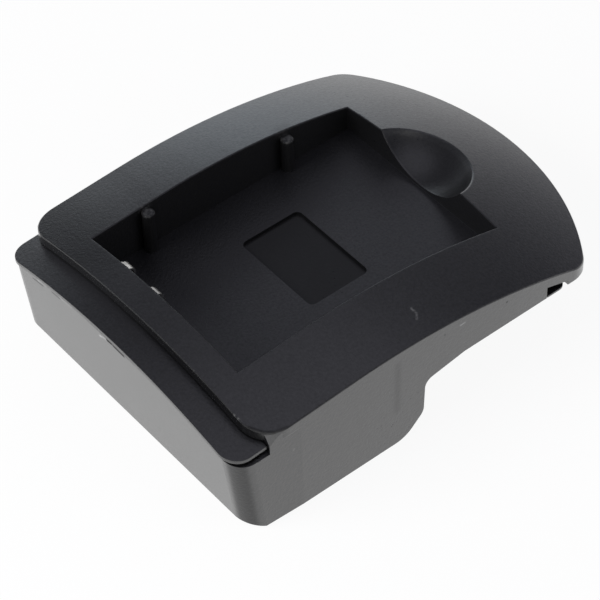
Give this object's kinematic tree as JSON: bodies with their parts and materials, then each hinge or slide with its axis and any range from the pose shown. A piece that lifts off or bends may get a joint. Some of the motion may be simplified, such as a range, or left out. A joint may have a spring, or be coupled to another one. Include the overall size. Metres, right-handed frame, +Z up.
{
  "type": "camera battery charging cradle",
  "caption": "Crowned black plastic cradle with an open rectangular battery pocket, sprung contacts, key posts, a finger scoop and a stepped underside that hooks over a charger base.",
  "frame": {"origin": "middle of the bounding box's bottom face", "axes": "+X from the contact end to the scoop end, +Z up through the pocket's mouth, +Y toward the key posts"},
  "size_m": [0.0781, 0.0578, 0.0226],
  "materials": {
    "housing_plastic": "fine spark-eroded texture",
    "cover_plastic": "fine spark-eroded texture",
    "base_plastic": "fine spark-eroded texture",
    "holder_plastic": "as moulded",
    "contact_strip": "plated spring strip",
    "screw_steel": "plated"
  },
  "bodies": {
    "root": {"housing": "housing_plastic", "contact_cover": "cover_plastic", "bottom_cover": "base_plastic", "contact_holder": "holder_plastic", "positive_contact": "contact_strip", "negative_contact": "contact_strip", "cover_screws": "screw_steel"}
  },
  "joints": []
}
